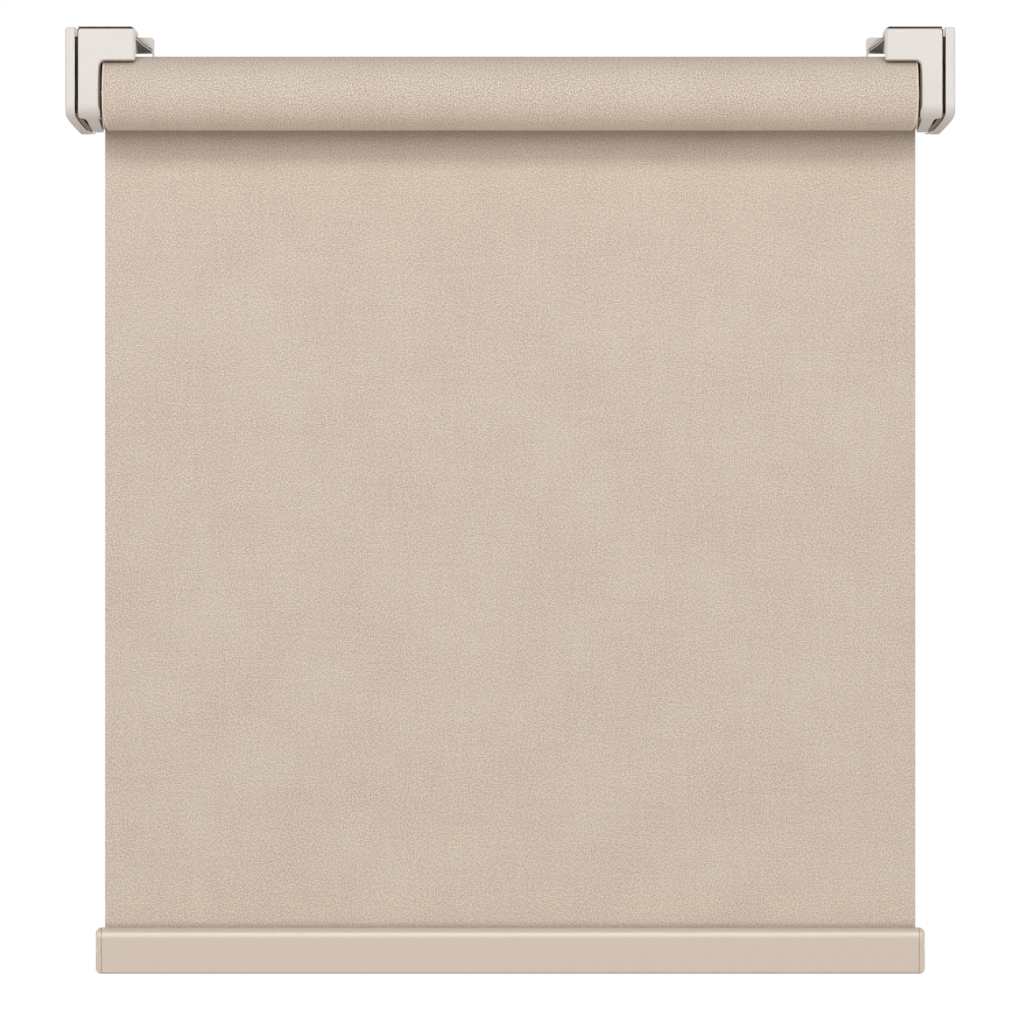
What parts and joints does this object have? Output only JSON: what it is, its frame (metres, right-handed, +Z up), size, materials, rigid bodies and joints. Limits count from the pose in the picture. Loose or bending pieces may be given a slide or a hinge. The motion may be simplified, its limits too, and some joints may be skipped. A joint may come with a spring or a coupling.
{
  "type": "roller blind",
  "caption": "Cordless blackout roller blind: wound roller between moulded corner brackets with clip-on covers, hanging fabric and a capped bottom bar.",
  "frame": {"origin": "on the wall plane, at the height of the roller's axis, midway between the brackets", "axes": "+X along the roller to the right as seen from the room, +Y into the wall, +Z up"},
  "size_m": [0.6, 0.0542, 0.6407],
  "materials": {
    "bracket_plastic": "satin",
    "blackout_fabric": "matte",
    "rail_aluminium": "satin",
    "rail_cap_plastic": "satin",
    "inner_plastic": "matte",
    "tube_aluminium": "satin",
    "spring_steel": "satin"
  },
  "bodies": {
    "brackets": {"left_bracket": "bracket_plastic", "right_bracket": "bracket_plastic", "left_front_cover": "bracket_plastic", "right_front_cover": "bracket_plastic", "left_end_cap": "bracket_plastic", "right_end_cap": "bracket_plastic", "idle_pin_seat": "inner_plastic", "tongue_seat": "inner_plastic", "spring_shaft": "spring_steel", "spring_anchor": "inner_plastic", "torsion_spring": "spring_steel", "shaft_clip": "spring_steel"},
    "roller": {"roller_tube": "tube_aluminium", "fixing_tape": "inner_plastic", "fabric_roll": "blackout_fabric", "idle_crown": "inner_plastic", "idle_pin_spring": "spring_steel", "spring_end_crown": "inner_plastic", "brake_spring": "spring_steel", "spring_carrier": "inner_plastic"},
    "idle_pin": {"idle_pin": "spring_steel"},
    "bottom_bar": {"fabric_drop": "blackout_fabric", "bottom_rail": "rail_aluminium", "hem_spline": "inner_plastic", "rail_cap_left": "rail_cap_plastic", "rail_cap_right": "rail_cap_plastic"}
  },
  "joints": [
    {"name": "bar_slide", "type": "slide", "parent": "brackets", "child": "bottom_bar", "axis": [0, 0, 1], "range_m": [-1.35, 0.5], "deforming": ["fabric_drop"]},
    {"name": "roller_spin", "type": "hinge", "parent": "brackets", "child": "roller", "pos_m": [0, -0.0296, 0], "axis": [1, 0, 0], "range_deg": [-3126, 1158], "deforming": ["torsion_spring"]},
    {"name": "idle_pin_slide", "type": "slide", "parent": "roller", "child": "idle_pin", "axis": [1, 0, 0], "range_m": [0, 0.007], "stiffness_N_per_m": 600, "springref_m": -0.004, "deforming": ["idle_pin_spring"]}
  ],
  "couplings": [
    {"joint": "roller_spin", "follows": "bar_slide", "rad_per_m": 40.36}
  ]
}
